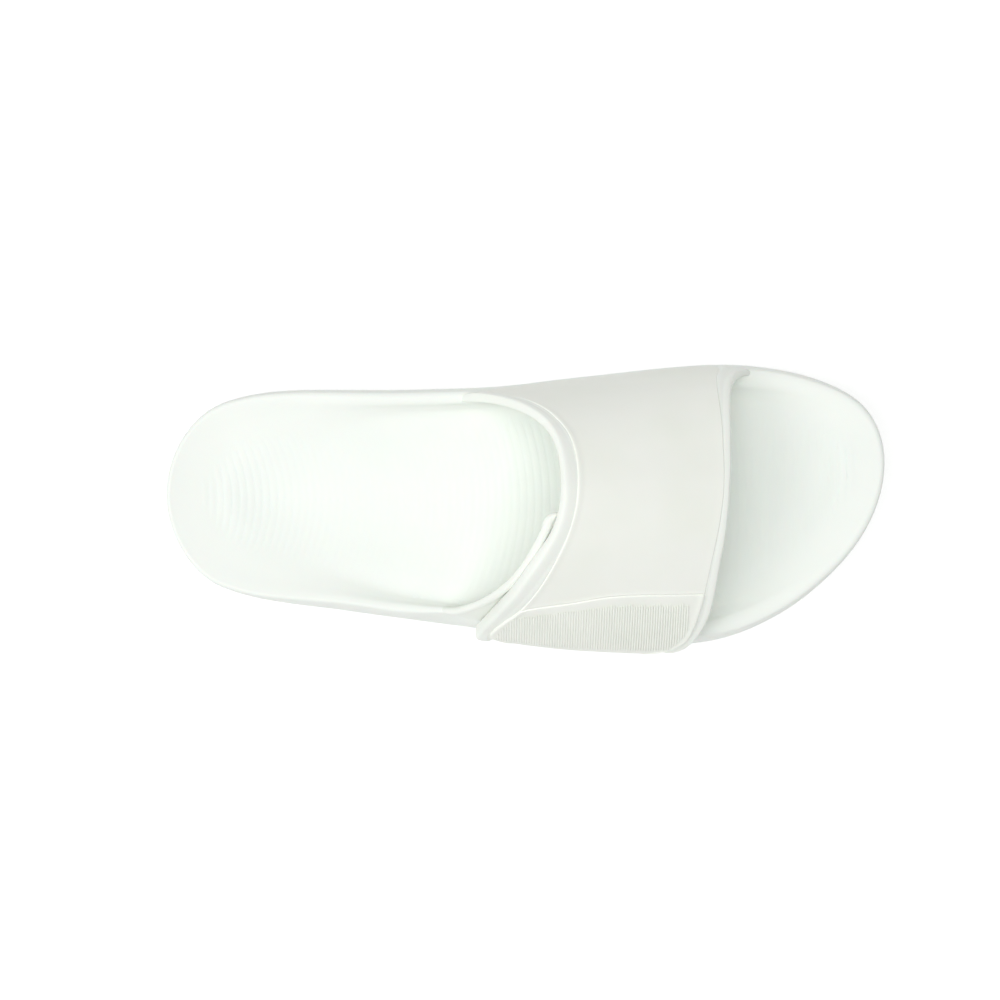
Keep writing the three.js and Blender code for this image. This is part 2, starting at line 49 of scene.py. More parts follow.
shoe = {
    "length": 280,
    "ballWidth": 109,
    "rimHeight": 37,
    "toeSpring": 9,
    "heelSpring": 3,
    "archLift": 1.8,
    # at, centre and half as shares of the ball width
    "outline": [
        (0.0, 0.021, 1.4), (0.05, 0.018, 1.315), (0.1, 0.016, 1.165), (0.16, 0.0115, 1.032),
        (0.22, 0.0036, 0.942), (0.3, -0.011, 0.882), (0.38, -0.023, 0.865), (0.46, -0.032, 0.878),
        (0.55, -0.034, 0.938), (0.63, -0.03, 1.006), (0.7, -0.023, 1.086), (0.78, -0.0036, 1.18),
        (0.86, 0.032, 1.246), (0.93, 0.077, 1.3), (1.0, 0.132, 1.41)
    ],
    # at, then shares of the rim height: big toe rim, little toe rim, big toe edge, little toe edge,
    # footbed, how far in the rim ends, how far in the footbed begins
    "profile": [
        (0.00, 0.97, 0.97, 0.85, 0.85, 0.77, 0.08, 0.46),
        (0.10, 1.00, 0.99, 0.87, 0.87, 0.73, 0.10, 0.44),
        (0.18, 1.02, 0.975, 0.89, 0.85, 0.70, 0.12, 0.40),
        (0.25, 1.03, 0.96, 0.90, 0.83, 0.70, 0.135, 0.33),
        (0.31, 1.025, 0.945, 0.90, 0.82, 0.70, 0.14, 0.27),
        (0.37, 1.02, 0.93, 0.89, 0.81, 0.70, 0.145, 0.25),
        (0.42, 1.01, 0.88, 0.87, 0.78, 0.69, 0.145, 0.24),
        (0.48, 0.86, 0.81, 0.79, 0.73, 0.66, 0.145, 0.24),
        (0.56, 0.75, 0.74, 0.69, 0.66, 0.60, 0.14, 0.24),
        (0.66, 0.67, 0.68, 0.58, 0.58, 0.54, 0.14, 0.26),
        (0.75, 0.65, 0.67, 0.565, 0.575, 0.52, 0.175, 0.32),
        (0.80, 0.665, 0.68, 0.57, 0.59, 0.53, 0.20, 0.35),
        (0.85, 0.69, 0.69, 0.60, 0.61, 0.55, 0.19, 0.37),
        (0.93, 0.73, 0.73, 0.66, 0.66, 0.61, 0.14, 0.40),
        (1.00, 0.77, 0.77, 0.73, 0.73, 0.70, 0.10, 0.40)
    ],
    # at, and how far the little toe side's shoulder draws in, so that the wing's wall covers it
    "tuck": [
        (0.0, 0.0), (0.12, 0.2), (0.2, 0.9), (0.26, 1.2), (0.34, 1.3), (0.36, 1.9), (0.38, 2.7),
        (0.41, 3.2), (0.5, 3.3), (0.66, 2.8), (0.72, 1.8), (0.78, 0.8), (0.86, 0.3), (1.0, 0.0)
    ]
}

last = {
    "instep": 84,
    "ledge": 15,        # the straps' roots start this high, behind the sole's side
    "rootInset": 1.2,
    "strapWall": 2.4,
    "wingWall": 2.4,
    "patchWall": 0.7,
    "gap": 0.3,
    "leg": 0.1,         # the upright part of each side, as a share of the way round
    "wallLean": 0.06,
    # spring height, rise, lean and reach of the curve on each side
    "bigToeSide": (26, 0.46, 0.05, 0.56),
    "littleToeSide": (24, 0.34, 0.10, 0.52),
    # at, crown as a share of the instep, ridge as a share of half the ball
    "topLine": [
        (0.34, 1.22, 0.04), (0.44, 1.125, 0.06), (0.55, 1.0, 0.08), (0.66, 0.855, 0.12),
        (0.78, 0.695, 0.17), (0.86, 0.62, 0.2)
    ],
    "lapStart": 0.42,   # the main strap rises here to pass over the wing and the tape
    "lapFull": 0.60,
    "aroundLength": 221
}


def curveThrough(knots, values, at):
    # a smooth curve whose tangents are weighted by the neighbouring spans
    knots = np.asarray(knots, float)
    values = np.asarray(values, float)
    gap = np.diff(knots).reshape((-1,) + (1,) * (values.ndim - 1))
    slope = np.diff(values, axis=0) / gap
    tangent = np.empty_like(values)
    tangent[1:-1] = (slope[:-1] * gap[1:] + slope[1:] * gap[:-1]) / (gap[1:] + gap[:-1])
    tangent[[0, -1]] = slope[[0, -1]]
    at = np.clip(np.asarray(at, float), knots[0], knots[-1])
    i = np.clip(np.searchsorted(knots, at, side="right") - 1, 0, len(knots) - 2)
    u = ((at - knots[i]) / (knots[i + 1] - knots[i])).reshape(at.shape + (1,) * (values.ndim - 1))
    w = gap[i]
    h = u * u * (3 - 2 * u)
    bend = u * (1 - u) * w * (tangent[i] * (1 - u) - tangent[i + 1] * u)
    return values[i] * (1 - h) + values[i + 1] * h + bend


def readTable(table, column, at):
    rows = np.array(table, float)
    at = np.asarray(at, float)
    return curveThrough(rows[:, 0], rows[:, column], at.ravel()).reshape(at.shape)


def mix(a, b, t):
    return a + (b - a) * t


def ease(v):
    t = np.clip(v, 0, 1)
    return t * t * (3 - 2 * t)


def outlineY(x, side):
    t = np.clip(np.asarray(x, float) / shoe["length"], 0, 1)
    reach = readTable(shoe["outline"], 2, t) * shoe["ballWidth"] / 2 * np.sqrt(4 * t * (1 - t))
    return readTable(shoe["outline"], 1, t) * shoe["ballWidth"] + side * reach


def underside(t):
    heel = shoe["heelSpring"] * np.clip((0.06 - t) / 0.06, 0, 1) ** 2
    toe = shoe["toeSpring"] * np.clip((t - 0.76) / 0.24, 0, 1) ** 2
    arch = shoe["archLift"] * np.sin(np.pi * np.clip((t - 0.36) / 0.2, 0, 1)) ** 2
    return heel + toe + arch


# The CAD sole's box says where the last sits in the frame
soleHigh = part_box("sole")[1]
stationX = np.linspace(0, shoe["length"], 2001)
shiftX = soleHigh[0] * 1000 - shoe["length"]
shiftY = soleHigh[1] * 1000 - outlineY(stationX, 1).max()


def toRow(points):
    return (np.asarray(points, float) + np.array([shiftX, shiftY, 0])) / 1000


# Camera straight above the shoe, the toe to the right of the picture
camera = {"aim": (129.7, 0, 25), "distance": 1400, "across": 390}


def addObject(name, data):
    thing = bpy.data.objects.new(name, data)
    bpy.context.collection.objects.link(thing)
    return thing


def placeCamera():
    data = bpy.data.cameras.new("overheadCamera")
    data.sensor_width = 36
    data.lens = 36 * camera["distance"] / camera["across"]
    data.clip_start = 0.05
    thing = addObject("overheadCamera", data)
    aim = toRow(camera["aim"])
    thing.location = (aim[0], aim[1], aim[2] + camera["distance"] / 1000)
    bpy.context.scene.camera = thing


placeCamera()
print("camera placed")


def hexColour(code):
    # sRGB hex to the linear values the shader wants
    parts = [int(code[i:i + 2], 16) / 255 for i in (0, 2, 4)]
    linear = [p / 12.92 if p <= 0.04045 else ((p + 0.055) / 1.055) ** 2.4 for p in parts]
    return (*linear, 1.0)


def addNode(tree, kind, links=None, **settings):
    # a node with its settings, links and socket values; a node as a link is its first output
    node = tree.nodes.new(kind)
    node.location = (len(tree.nodes) * 170, -(len(tree.nodes) % 4) * 150)
    for name, value in settings.items():
        setattr(node, name, value)
    for key, value in (links or {}).items():
        if isinstance(value, bpy.types.Node):
            value = value.outputs[0]
        if isinstance(value, bpy.types.NodeSocket):
            tree.links.new(value, node.inputs[key])
        else:
            node.inputs[key].default_value = value
    return node


def perMm(size):
    # texture scale for features of this many millimetres, in metre coordinates
    return 1000 / size


def newMaterial(name):
    material = bpy.data.materials.new(name)
    material.use_nodes = True
    tree = material.node_tree
    tree.nodes.clear()
    output = addNode(tree, "ShaderNodeOutputMaterial")
    surface = addNode(tree, "ShaderNodeBsdfPrincipled")
    tree.links.new(surface.outputs["BSDF"], output.inputs["Surface"])
    place = addNode(tree, "ShaderNodeTexCoord").outputs["Object"]
    return material, tree, surface, place


def speckledSkin(name, look):
    # skin of a moulded or coated part: a fine pebble in the bump, slow drift in colour and gloss
    material, tree, surface, place = newMaterial(name)
    grain = addNode(tree, "ShaderNodeTexNoise", {
        "Vector": place, "Scale": perMm(look["grain"]), "Detail": 3.0, "Roughness": 0.6
    })
    cells = addNode(tree, "ShaderNodeTexVoronoi", {
        "Vector": place, "Scale": perMm(look["cell"])
    }, feature="SMOOTH_F1")
    drift = addNode(tree, "ShaderNodeTexNoise", {
        "Vector": place, "Scale": perMm(look["drift"]), "Detail": 2.0
    })
    height = addNode(tree, "ShaderNodeMix", {
        "Factor": look["cellShare"], "A": grain.outputs["Fac"], "B": cells.outputs["Distance"]
    }, data_type="FLOAT")
    bump = addNode(tree, "ShaderNodeBump", {
        "Height": height.outputs["Result"], "Strength": look["bump"], "Distance": look["depth"] / 1000
    })
    spread = addNode(tree, "ShaderNodeMapRange", {
        "Value": drift.outputs["Fac"], "From Min": 0.3, "From Max": 0.7
    })
    tone = addNode(tree, "ShaderNodeMix", {
        "Factor": spread, "A": hexColour(look["colour"]), "B": hexColour(look["shade"])
    }, data_type="RGBA")
    gloss = addNode(tree, "ShaderNodeMapRange", {
        "Value": grain.outputs["Fac"], "From Min": 0.3, "From Max": 0.7, "To Min": look["rough"] - 0.06,
        "To Max": look["rough"] + 0.06
    })
    tree.links.new(tone.outputs["Result"], surface.inputs["Base Color"])
    tree.links.new(gloss.outputs["Result"], surface.inputs["Roughness"])
    tree.links.new(bump.outputs["Normal"], surface.inputs["Normal"])
    for key, value in (
        ("IOR", look["ior"]), ("Specular IOR Level", look["shine"]), ("Subsurface Weight", look["soft"]),
        ("Subsurface Scale", 0.001)
    ):
        surface.inputs[key].default_value = value
    return material


# Compression-moulded EVA foam: closed cells under a thin skin, so light soaks in a little and the
# gloss is low. Its cells are about 0.2 mm; they are drawn at 0.9 mm so that they show.
mouldedEvaFoam = speckledSkin("mouldedEvaFoam", {
    "colour": "F8FCF6", "shade": "F5FAF4", "grain": 0.9, "cell": 1.6, "cellShare": 0.35, "drift": 38,
    "bump": 0.18, "depth": 0.12, "rough": 0.62, "ior": 1.45, "shine": 0.35, "soft": 0.06
})

# The strap's own foam is moulded in a polished tool: the same white, smoother and a touch glossier
polishedStrapFoam = speckledSkin("polishedStrapFoam", {
    "colour": "F7FBF4", "shade": "F4F8F1", "grain": 0.8, "cell": 1.4, "cellShare": 0.25, "drift": 30,
    "bump": 0.12, "depth": 0.10, "rough": 0.52, "ior": 1.45, "shine": 0.4, "soft": 0.05
})

# Coated synthetic skin, calendered smooth: a warmer white, a fine leather pebble, nearly no gloss
coatedStrapSkin = speckledSkin("coatedStrapSkin", {
    "colour": "F9FBF4", "shade": "F6F9F0", "grain": 1.1, "cell": 1.8, "cellShare": 0.55, "drift": 26,
    "bump": 0.16, "depth": 0.10, "rough": 0.66, "ior": 1.46, "shine": 0.3, "soft": 0.03
})

# Moulded soft rubber for the pull tab: denser than the foam, so it reads a little greyer and drier
ribbedTabRubber = speckledSkin("ribbedTabRubber", {
    "colour": "FAFCF5", "shade": "F6F9F1", "grain": 0.7, "cell": 1.2, "cellShare": 0.3, "drift": 18,
    "bump": 0.2, "depth": 0.08, "rough": 0.7, "ior": 1.5, "shine": 0.3, "soft": 0.02
})

# Woven nylon touch tape: dull; its fuzzy pile is geometry, and this is the ground cloth
nylonTouchTape = speckledSkin("nylonTouchTape", {
    "colour": "E2E5DC", "shade": "DADED3", "grain": 0.6, "cell": 0.9, "cellShare": 0.7, "drift": 9,
    "bump": 0.5, "depth": 0.2, "rough": 0.85, "ior": 1.53, "shine": 0.2, "soft": 0.0
})
print("materials made")

sharpAngle = math.radians(42)


def smoothMesh(mesh):
    mesh.shade_smooth()
    mesh.set_sharp_from_angle(angle=sharpAngle)


def meshPiece(name, points, faces, material):
    mesh = bpy.data.meshes.new(name)
    mesh.from_pydata(toRow(points).tolist(), [], faces)
    mesh.update()
    smoothMesh(mesh)
    mesh.materials.append(material)
    return addObject(name, mesh)


def turnOutwards(points, faces):
    # a closed shell's volume says whether its faces point outwards
    volume = 0.0
    for face in faces:
        a = points[face[0]]
        for i in range(1, len(face) - 1):
            volume += np.dot(a, np.cross(points[face[i]], points[face[i + 1]]))
    return faces if volume > 0 else [tuple(reversed(face)) for face in faces]


def ringFaces(rings, count, closed=True):
    faces = []
    for r in range(rings - 1):
        for k in range(count if closed else count - 1):
            n = (k + 1) % count
            faces.append((r * count + k, r * count + n, (r + 1) * count + n, (r + 1) * count + k))
    return faces


weldGap = 0.00001


def weld(thing):
    work = bmesh.new()
    work.from_mesh(thing.data)
    bmesh.ops.remove_doubles(work, verts=work.verts, dist=weldGap)
    bmesh.ops.dissolve_degenerate(work, dist=weldGap / 10, edges=work.edges)
    bmesh.ops.recalc_face_normals(work, faces=work.faces)
    work.to_mesh(thing.data)
    work.free()
    smoothMesh(thing.data)


# The sole: rings climb from the tread, round the side and the rim, and down into the footbed
sole = {
    "around": 560,
    # inset from the outline and height, from the tread up the side; the step is the groove all round
    "side": [(6, 0), (2.8, 0), (1.1, 1.1), (0.5, 3), (0.4, 8), (1.5, 8.9), (1.5, 10.1), (0.3, 11)],
    # inset, share of the tuck, drop below the rim
    "shoulder": [(0.45, 0.75, 6), (1.1, 1, 2.2), (1.8, 1, 0.6)],
    "crest": 0.62,            # where the rim is highest, as a share of its lip
    "lip": (0.92, 0.86),      # big toe side, little toe side
    "wall": [(0, 0.06), (0.5, 0.55), (1, 1)],   # share of the way in, share of the way down
    "spine": (0.16, 0.82),    # the footbed's middle line, as shares of the length
    "bedCurve": 1.8,
    "rowsBetween": [10, 6, 4, 3, 4, 3, 3, 2, 3, 6, 6, 4, 3, 3, 3, 5, 5, 7, 7, 7, 7]
}


def soleRows():
    count = sole["around"]
    angle = 2 * np.pi * np.arange(count) / count
    side = np.where(np.arange(count) <= count // 2, 1.0, -1.0)
    x = shoe["length"] * (1 - np.cos(angle)) / 2
    y = np.where(side > 0, outlineY(x, 1), outlineY(x, -1))
    t = x / shoe["length"]
    dx = np.roll(x, -1) - np.roll(x, 1)
    dy = np.roll(y, -1) - np.roll(y, 1)
    span = np.hypot(dx, dy)
    nx = dy / span
    ny = -dx / span

    def share(column, at=t):
        return readTable(shoe["profile"], column, at) * shoe["rimHeight"]

    rim = np.where(side > 0, share(1), share(2))
    edge = np.where(side > 0, share(3), share(4))
    tuck = np.where(side > 0, 0.0, readTable(shoe["tuck"], 1, t))
    lip = share(6) * np.where(side > 0, *sole["lip"]) + tuck * 0.5
    foot = share(7)
    low = underside(t)

    def inset(d, z):
        return np.stack([x + nx * d, y + ny * d, z + 0 * x], axis=1)

    def spine(part):
        px, py = inset(foot, 0)[:, :2].T
        sx = shoe["length"] * mix(*sole["spine"], t)
        sy = (outlineY(sx, 1) + outlineY(sx, -1)) / 2
        return np.stack([mix(px, sx, part), mix(py, sy, part)], axis=1)

    def under(part):
        flat = spine(part)
        return np.column_stack([flat, underside(flat[:, 0] / shoe["length"])])

    rows = [under(1.0), under(0.5)]
    for d, up in sole["side"]:
        ring = inset(d, 0)
        ground = low if up > 0 else underside(ring[:, 0] / shoe["length"])
        ring[:, 2] = ground + up * (1 - 0.3 * ground / shoe["toeSpring"])
        rows.append(ring)
    rows.append(inset(tuck * 0.15, mix(low, rim, 0.55)))
    for d, tucked, drop in sole["shoulder"]:
        narrow = np.minimum(1, lip / (shoe["rimHeight"] * 0.145))
        fall = drop * mix(0.5, 1, np.clip((rim - 24) / 12, 0, 1))
        rows.append(inset(d * narrow + tucked * tuck, rim - fall))
    rows.append(inset(lip * sole["crest"] + tuck * 0.4, rim))
    for part, drop in sole["wall"]:
        rows.append(inset(mix(lip, foot, part), mix(rim, edge, drop)))
    footRow = len(rows) - 1
    for part in (0.25, 0.5, 0.75, 1.0):
        flat = spine(part)
        at = flat[:, 0] / shoe["length"]
        bed = share(5, at)
        rise = np.where(side > 0, share(3, at), share(4, at))
        rows.append(np.column_stack([flat, mix(bed, rise, (1 - part) ** sole["bedCurve"])]))
    return np.array(rows), footRow


def finerRows(rows, between):
    steps = np.sqrt(((rows[1:] - rows[:-1]) ** 2).sum(axis=2)).mean(axis=1)
    knots = np.concatenate([[0], np.cumsum(np.maximum(steps, 0.05))])
    at = [np.linspace(knots[i], knots[i + 1], n, endpoint=False) for i, n in enumerate(between)]
    at.append(np.array([knots[-1]]))
    return curveThrough(knots, rows, np.concatenate(at))


coarseRows, footRow = soleRows()
soleFine = finerRows(coarseRows, sole["rowsBetween"])
soleFaces = ringFaces(len(soleFine), sole["around"])
mouldedSole = meshPiece("mouldedSole", soleFine.reshape(-1, 3), soleFaces, mouldedEvaFoam)
weld(mouldedSole)
print("sole shell made", len(soleFaces))


# One cross section of the last; around runs from 0 at the big toe root to 1 at the little toe root
def lastSection(x, around):
    t = x / shoe["length"]
    bigToe = around <= 0.5
    sides = zip(last["bigToeSide"], last["littleToeSide"])
    spring, rise, lean, reach = (np.where(bigToe, big, little) for big, little in sides)
    sign = np.where(bigToe, 1.0, -1.0)
    ridge = readTable(last["topLine"], 2, t) * shoe["ballWidth"] / 2
    crown = readTable(last["topLine"], 1, t) * last["instep"]
    wall = np.where(bigToe, last["strapWall"], last["wingWall"])
    foot = np.where(bigToe, outlineY(x, 1), outlineY(x, -1)) - sign * (wall + last["rootInset"])
    turn = np.where(bigToe, around, 1 - around)
    legZ = last["ledge"] + (spring - last["ledge"]) * turn / last["leg"]
    legY = foot + sign * last["wallLean"] * (spring - legZ)
    u = np.clip((turn - last["leg"]) / (0.5 - last["leg"]), 0, 1)
    width = foot - ridge
    height = crown - spring
    b0, b1, b2, b3 = (1 - u) ** 3, 3 * (1 - u) ** 2 * u, 3 * (1 - u) * u * u, u ** 3
    y = b0 * foot + b1 * (foot - lean * width) + b2 * (ridge + reach * width) + b3 * ridge
    z = b0 * spring + b1 * (spring + rise * height) + (b2 + b3) * crown
    onLeg = turn < last["leg"]
    return np.where(onLeg, legY, y), np.where(onLeg, legZ, z)


def lastPoint(x, around, off):
    # a point this far off the last, along its own slope
    e = 0.001
    x, around, off = np.broadcast_arrays(*(np.asarray(value, float) for value in (x, around, off)))
    y, z = lastSection(x, around)
    ya, za = lastSection(x, around - e)
    yb, zb = lastSection(x, around + e)
    yc, zc = lastSection(x - 0.5, around)
    yd, zd = lastSection(x + 0.5, around)
    along = np.stack([np.ones_like(x), yd - yc, zd - zc], axis=-1)
    across = np.stack([np.zeros_like(x), yb - ya, zb - za], axis=-1)
    out = np.cross(along, across)
    out /= np.linalg.norm(out, axis=-1, keepdims=True)
    outward = out[..., 1] * y + out[..., 2] * (z - 20)
    out = np.where(outward[..., None] < 0, -out, out)
    return np.stack([x, y, z], axis=-1) + out * off[..., None]


def lap(around):
    stack = last["wingWall"] + 2 * last["patchWall"] + 3 * last["gap"]
    return stack * ease((around - last["lapStart"]) / (last["lapFull"] - last["lapStart"]))


roots = {
    "wall": 1.4,        # how far the roots draw in below the rim, so that the sole's side covers them
    "wallBelow": 5,
    "corner": 0.5,      # and a little more where a corner of the strap leaves the rim
    "wedge": 0.6,       # the share of its wall that a corner loses at its tip
    "tipAbove": 6,
    "drop": 4.8,        # how far a strap's corner runs down, to come out of the rim's own crest
    "dropAlong": 29,
    "dropAbove": 12
}


def rimHeightAt(x, around):
    t = np.clip(np.asarray(x, float) / shoe["length"], 0, 1)
    big, little = (readTable(shoe["profile"], column, t) for column in (1, 2))
    return np.where(np.asarray(around) <= 0.5, big, little) * shoe["rimHeight"]


def rootSettle(x, around, height, tips):
    # how far in and how far down, zero a finger's width over the rim; the tips thin to a wedge
    above = lastSection(x, around)[1] - rimHeightAt(x, around)
    corner = 2 - ease((x - tips[0]) / roots["dropAlong"]) - ease((tips[1] - x) / roots["dropAlong"])
    low = 1 - ease(above / roots["tipAbove"])
    inwards = roots["wall"] * ease((-above - 0.5) / roots["wallBelow"])
    inwards = inwards + low * (roots["corner"] * corner + roots["wedge"] * height * corner ** 2)
    return inwards, roots["drop"] * corner * (1 - ease(above / roots["dropAbove"]))


ringStep = 1.1      # millimetres between the rings of a laid piece; near its ends they lie closer


def layPiece(spec):
    # rings of points for a piece laid on the last, from its start round the foot to its end
    def limit(which, x):
        value = spec[which]
        return value(x) if callable(value) else value

    def aroundAt(x, v):
        return mix(limit("start", x), limit("end", x), v)

    middle = shoe["length"] * 0.6
    walk = lastPoint(middle, aroundAt(middle, np.linspace(0, 1, 120)), 0)
    reach = np.linalg.norm(np.diff(walk, axis=0), axis=1).sum()
    near = np.array([0, 0.1, 0.3, 0.6, 1.0, 1.5, 2.1, 2.8, 3.6, 4.5])
    count = int((reach - 9) / ringStep)
    places = np.concatenate([near, np.linspace(5.4, reach - 5.4, count), reach - near[::-1]]) / reach
    rings = []
    for v in places:
        edge = {}
        for column, key in ((1, "rear"), (2, "front")):
            x = middle
            for _ in range(12):
                x = shoe["length"] * float(readTable(spec["edges"], column, aroundAt(x, v)))
            edge[key] = x
        first = v < 0.5
        run = min(v, 1 - v) * reach
        corner = spec.get("cornerStart" if first else "cornerEnd", 0)
        pull = corner - math.sqrt(max(0, corner ** 2 - (corner - run) ** 2)) if run < corner else 0
        rounding = spec.get("roundStart" if first else "roundEnd", 0)
        thin = math.sqrt(max(0, 1 - (1 - run / rounding) ** 2)) if run < rounding else 1
        rear = edge["rear"] + pull
        front = edge["front"] - pull
        nominal = float(aroundAt(middle, v))
        loop = np.array(spec["profile"](front - rear, nominal), float)
        wall = spec["wall"]
        loop[:, 1] = wall / 2 + (loop[:, 1] - wall / 2) * max(thin, 0.1)
        closed = np.vstack([loop[-2:], loop, loop[:3]])
        steps = np.linalg.norm(np.diff(closed, axis=0), axis=1)
        knots = np.concatenate([[0], np.cumsum(np.maximum(steps, 0.001))])
        sub = spec.get("sub", 3)
        at = np.concatenate([np.linspace(knots[i], knots[i + 1], sub, endpoint=False)
                             for i in range(2, 2 + len(loop))])
        fine = curveThrough(knots, closed, at)
        x = rear + fine[:, 0]
        around = aroundAt(x, v)
        height = spec["standOff"](around) + fine[:, 1]
        if "relief" in spec:
            height = height + spec["relief"](x, around) * (fine[:, 1] > wall * 0.6)
        inwards, down = 0 * x, 0 * x
        if "tips" in spec and (nominal < 0.5) == (spec["start"] == 0.0):
            inwards, down = rootSettle(x, around, height, spec["tips"])
        ring = lastPoint(x, around, height - inwards)
        ring[:, 2] -= down
        rings.append(ring)
    return np.array(rings)


def pieceFromRings(name, rings, material):
    count = rings.shape[1]
    points = rings.reshape(-1, 3)
    faces = ringFaces(len(rings), count)
    faces.append(tuple(reversed(range(count))))
    top = (len(rings) - 1) * count
    faces.append(tuple(top + k for k in range(count)))
    return meshPiece(name, points, turnOutwards(points, faces), material)


# The cover lies in the strap's tray, with a fine raised piping round its edge
coverSize = {
    "wall": 0.95,
    "piping": (0.20, 0.05),  # behind and in front
    "seam": 0.35,            # the raised line where the pull tab begins
    "edges": [
        (0.115, 0.466, 0.764), (0.14, 0.452, 0.767), (0.17, 0.453, 0.767), (0.2, 0.471, 0.763),
        (0.24, 0.497, 0.761), (0.28, 0.518, 0.761), (0.33, 0.538, 0.762), (0.38, 0.553, 0.763),
        (0.43, 0.5605, 0.763), (0.48, 0.561, 0.762), (0.52, 0.557, 0.759), (0.56, 0.5475, 0.753),
        (0.61, 0.532, 0.745), (0.67, 0.513, 0.738), (0.73, 0.491, 0.732), (0.78, 0.4685, 0.726),
        (0.82, 0.456, 0.719), (0.881, 0.448, 0.695)
    ],
    # soft troughs where the skin has been bent: at, around, how wide each way, how deep
    "troughs": [
        (0.6, 0.56, 0.06, 0.02, 0.35), (0.68, 0.585, 0.05, 0.016, 0.25),
        (0.56, 0.36, 0.03, 0.03, 0.2), (0.72, 0.34, 0.022, 0.05, 0.22),
        (0.66, 0.23, 0.06, 0.022, 0.25), (0.58, 0.66, 0.045, 0.018, 0.2)
    ]
}


# Main strap: a broad bead along its rear edge, a narrow one in front, flat between for the cover
mainStrapSize = {
    "bead": 3.4,
    "beadWidth": 4.6,
    "marginDrop": 0.18,
    "rolled": 2.0,      # on the little toe side the rear edge rolls in until it rests on the wing
    "cornerLip": 0.7,   # the rear bead rises round the pull tab's lower corner
    # around, rear edge, front edge
    "edges": [
        (0.0, 0.5, 0.8), (0.05, 0.47, 0.812), (0.09, 0.43, 0.818), (0.105, 0.415, 0.816),
        (0.125, 0.4, 0.809), (0.148, 0.397, 0.8015), (0.16, 0.41, 0.798), (0.172, 0.427, 0.7945),
        (0.186, 0.443, 0.791), (0.202, 0.4555, 0.788), (0.24, 0.48, 0.782), (0.28, 0.501, 0.779),
        (0.33, 0.5215, 0.777), (0.38, 0.5345, 0.776), (0.43, 0.541, 0.775), (0.48, 0.542, 0.773),
        (0.52, 0.539, 0.769), (0.56, 0.5295, 0.7645), (0.6, 0.514, 0.76), (0.65, 0.494, 0.7545),
        (0.7, 0.477, 0.751), (0.75, 0.4595, 0.7465), (0.8, 0.4455, 0.738), (0.84, 0.437, 0.728),
        (0.872, 0.432, 0.716), (0.888, 0.431, 0.705)
    ],
    # around, rear bead, front bead, as shares of the bead width
    "beads": [
        (0.0, 0.78, 0.56), (0.2, 0.62, 0.6), (0.34, 0.7, 0.62), (0.46, 1.0, 0.65),
        (0.62, 1.0, 0.65), (0.78, 0.78, 0.58), (0.84, 0.8, 0.56), (0.888, 1.3, 0.54)
    ]
}


def mainStrapProfile(width, around):
    # bead, a shallow margin up to the cover's edge, the tray under the cover, then the same again
    wall = last["strapWall"]
    bead = mix(wall, mainStrapSize["bead"], float(ease((around - 0.09) / 0.055)))
    lip = bead + mainStrapSize["cornerLip"] * float(ease((around - 0.835) / 0.035))
    margin = mix(wall + 0.1, mainStrapSize["bead"] - mainStrapSize["marginDrop"],
                 float(ease((around - 0.095) / 0.05)))
    rear = mainStrapSize["beadWidth"] * float(readTable(mainStrapSize["beads"], 1, around))
    front = width - mainStrapSize["beadWidth"] * float(readTable(mainStrapSize["beads"], 2, around))
    strapRear, strapFront = (float(readTable(mainStrapSize["edges"], k, around)) for k in (1, 2))
    coverRear, coverFront = (float(readTable(coverSize["edges"], k, around)) for k in (1, 2))
    inner = max(rear + 1.1, (coverRear - strapRear) * shoe["length"] + 0.2)
    outer = min(front - 0.9, width - (strapFront - coverFront) * shoe["length"] - 0.2)
    loop = [(0, lip * 0.32), (0.25, lip * 0.68), (0.8, lip * 0.94), (1.3, lip), (rear - 1.1, lip)]
    loop += [(rear - 0.4, lip * 0.985), (rear + 0.3, margin + 0.04), (rear + 0.8, margin)]
    loop += [(inner, margin), (inner + 0.4, wall)]
    loop += [(mix(inner + 1.5, outer - 1.5, i / 7), wall) for i in range(8)]
    loop += [(outer - 0.4, wall), (outer, margin), (front - 0.5, margin), (front - 0.1, margin + 0.05)]
    loop += [(front + 0.6, bead * 0.985), (front + 1.1, bead * 0.985), (width - 0.9, bead * 0.95)]
    loop += [(width - 0.3, bead * 0.76), (width, bead * 0.35), (width - 0.35, bead * 0.05)]
    loop += [(mix(width - 1.2, 5.0, i / 9), 0) for i in range(10)]
    roll = mainStrapSize["rolled"] * float(ease((around - 0.56) / 0.06))
    under = [(3.8, 0.2), (2.9, 0.8), (2.0, 1), (0.9, 0.97), (0.25, 0.75)]
    return loop + [(d, -roll * part) for d, part in under]


mainStrap = pieceFromRings("mainStrap", layPiece({
    "edges": mainStrapSize["edges"], "start": 0.0, "end": 0.888, "standOff": lap, "wall": last["strapWall"],
    "profile": mainStrapProfile, "roundEnd": 1.3, "cornerEnd": 2.5, "tips": (111, 235)
}), polishedStrapFoam)
print("main strap made")


# The pull tab carries on from the cover, a little thicker and ribbed
pullTabSize = {
    "wall": 1.4,
    "piping": (0.3, 0.3),
    # at, around: the line where the ribbed pull tab begins
    "topLine": [
        (0.44, 0.755), (0.49, 0.732), (0.52, 0.717), (0.56, 0.703), (0.6, 0.691), (0.64, 0.688),
        (0.7, 0.692), (0.76, 0.702)
    ],
    "end": 0.879
}


def pullTabLine(x):
    return readTable(pullTabSize["topLine"], 1, np.asarray(x, float) / shoe["length"])


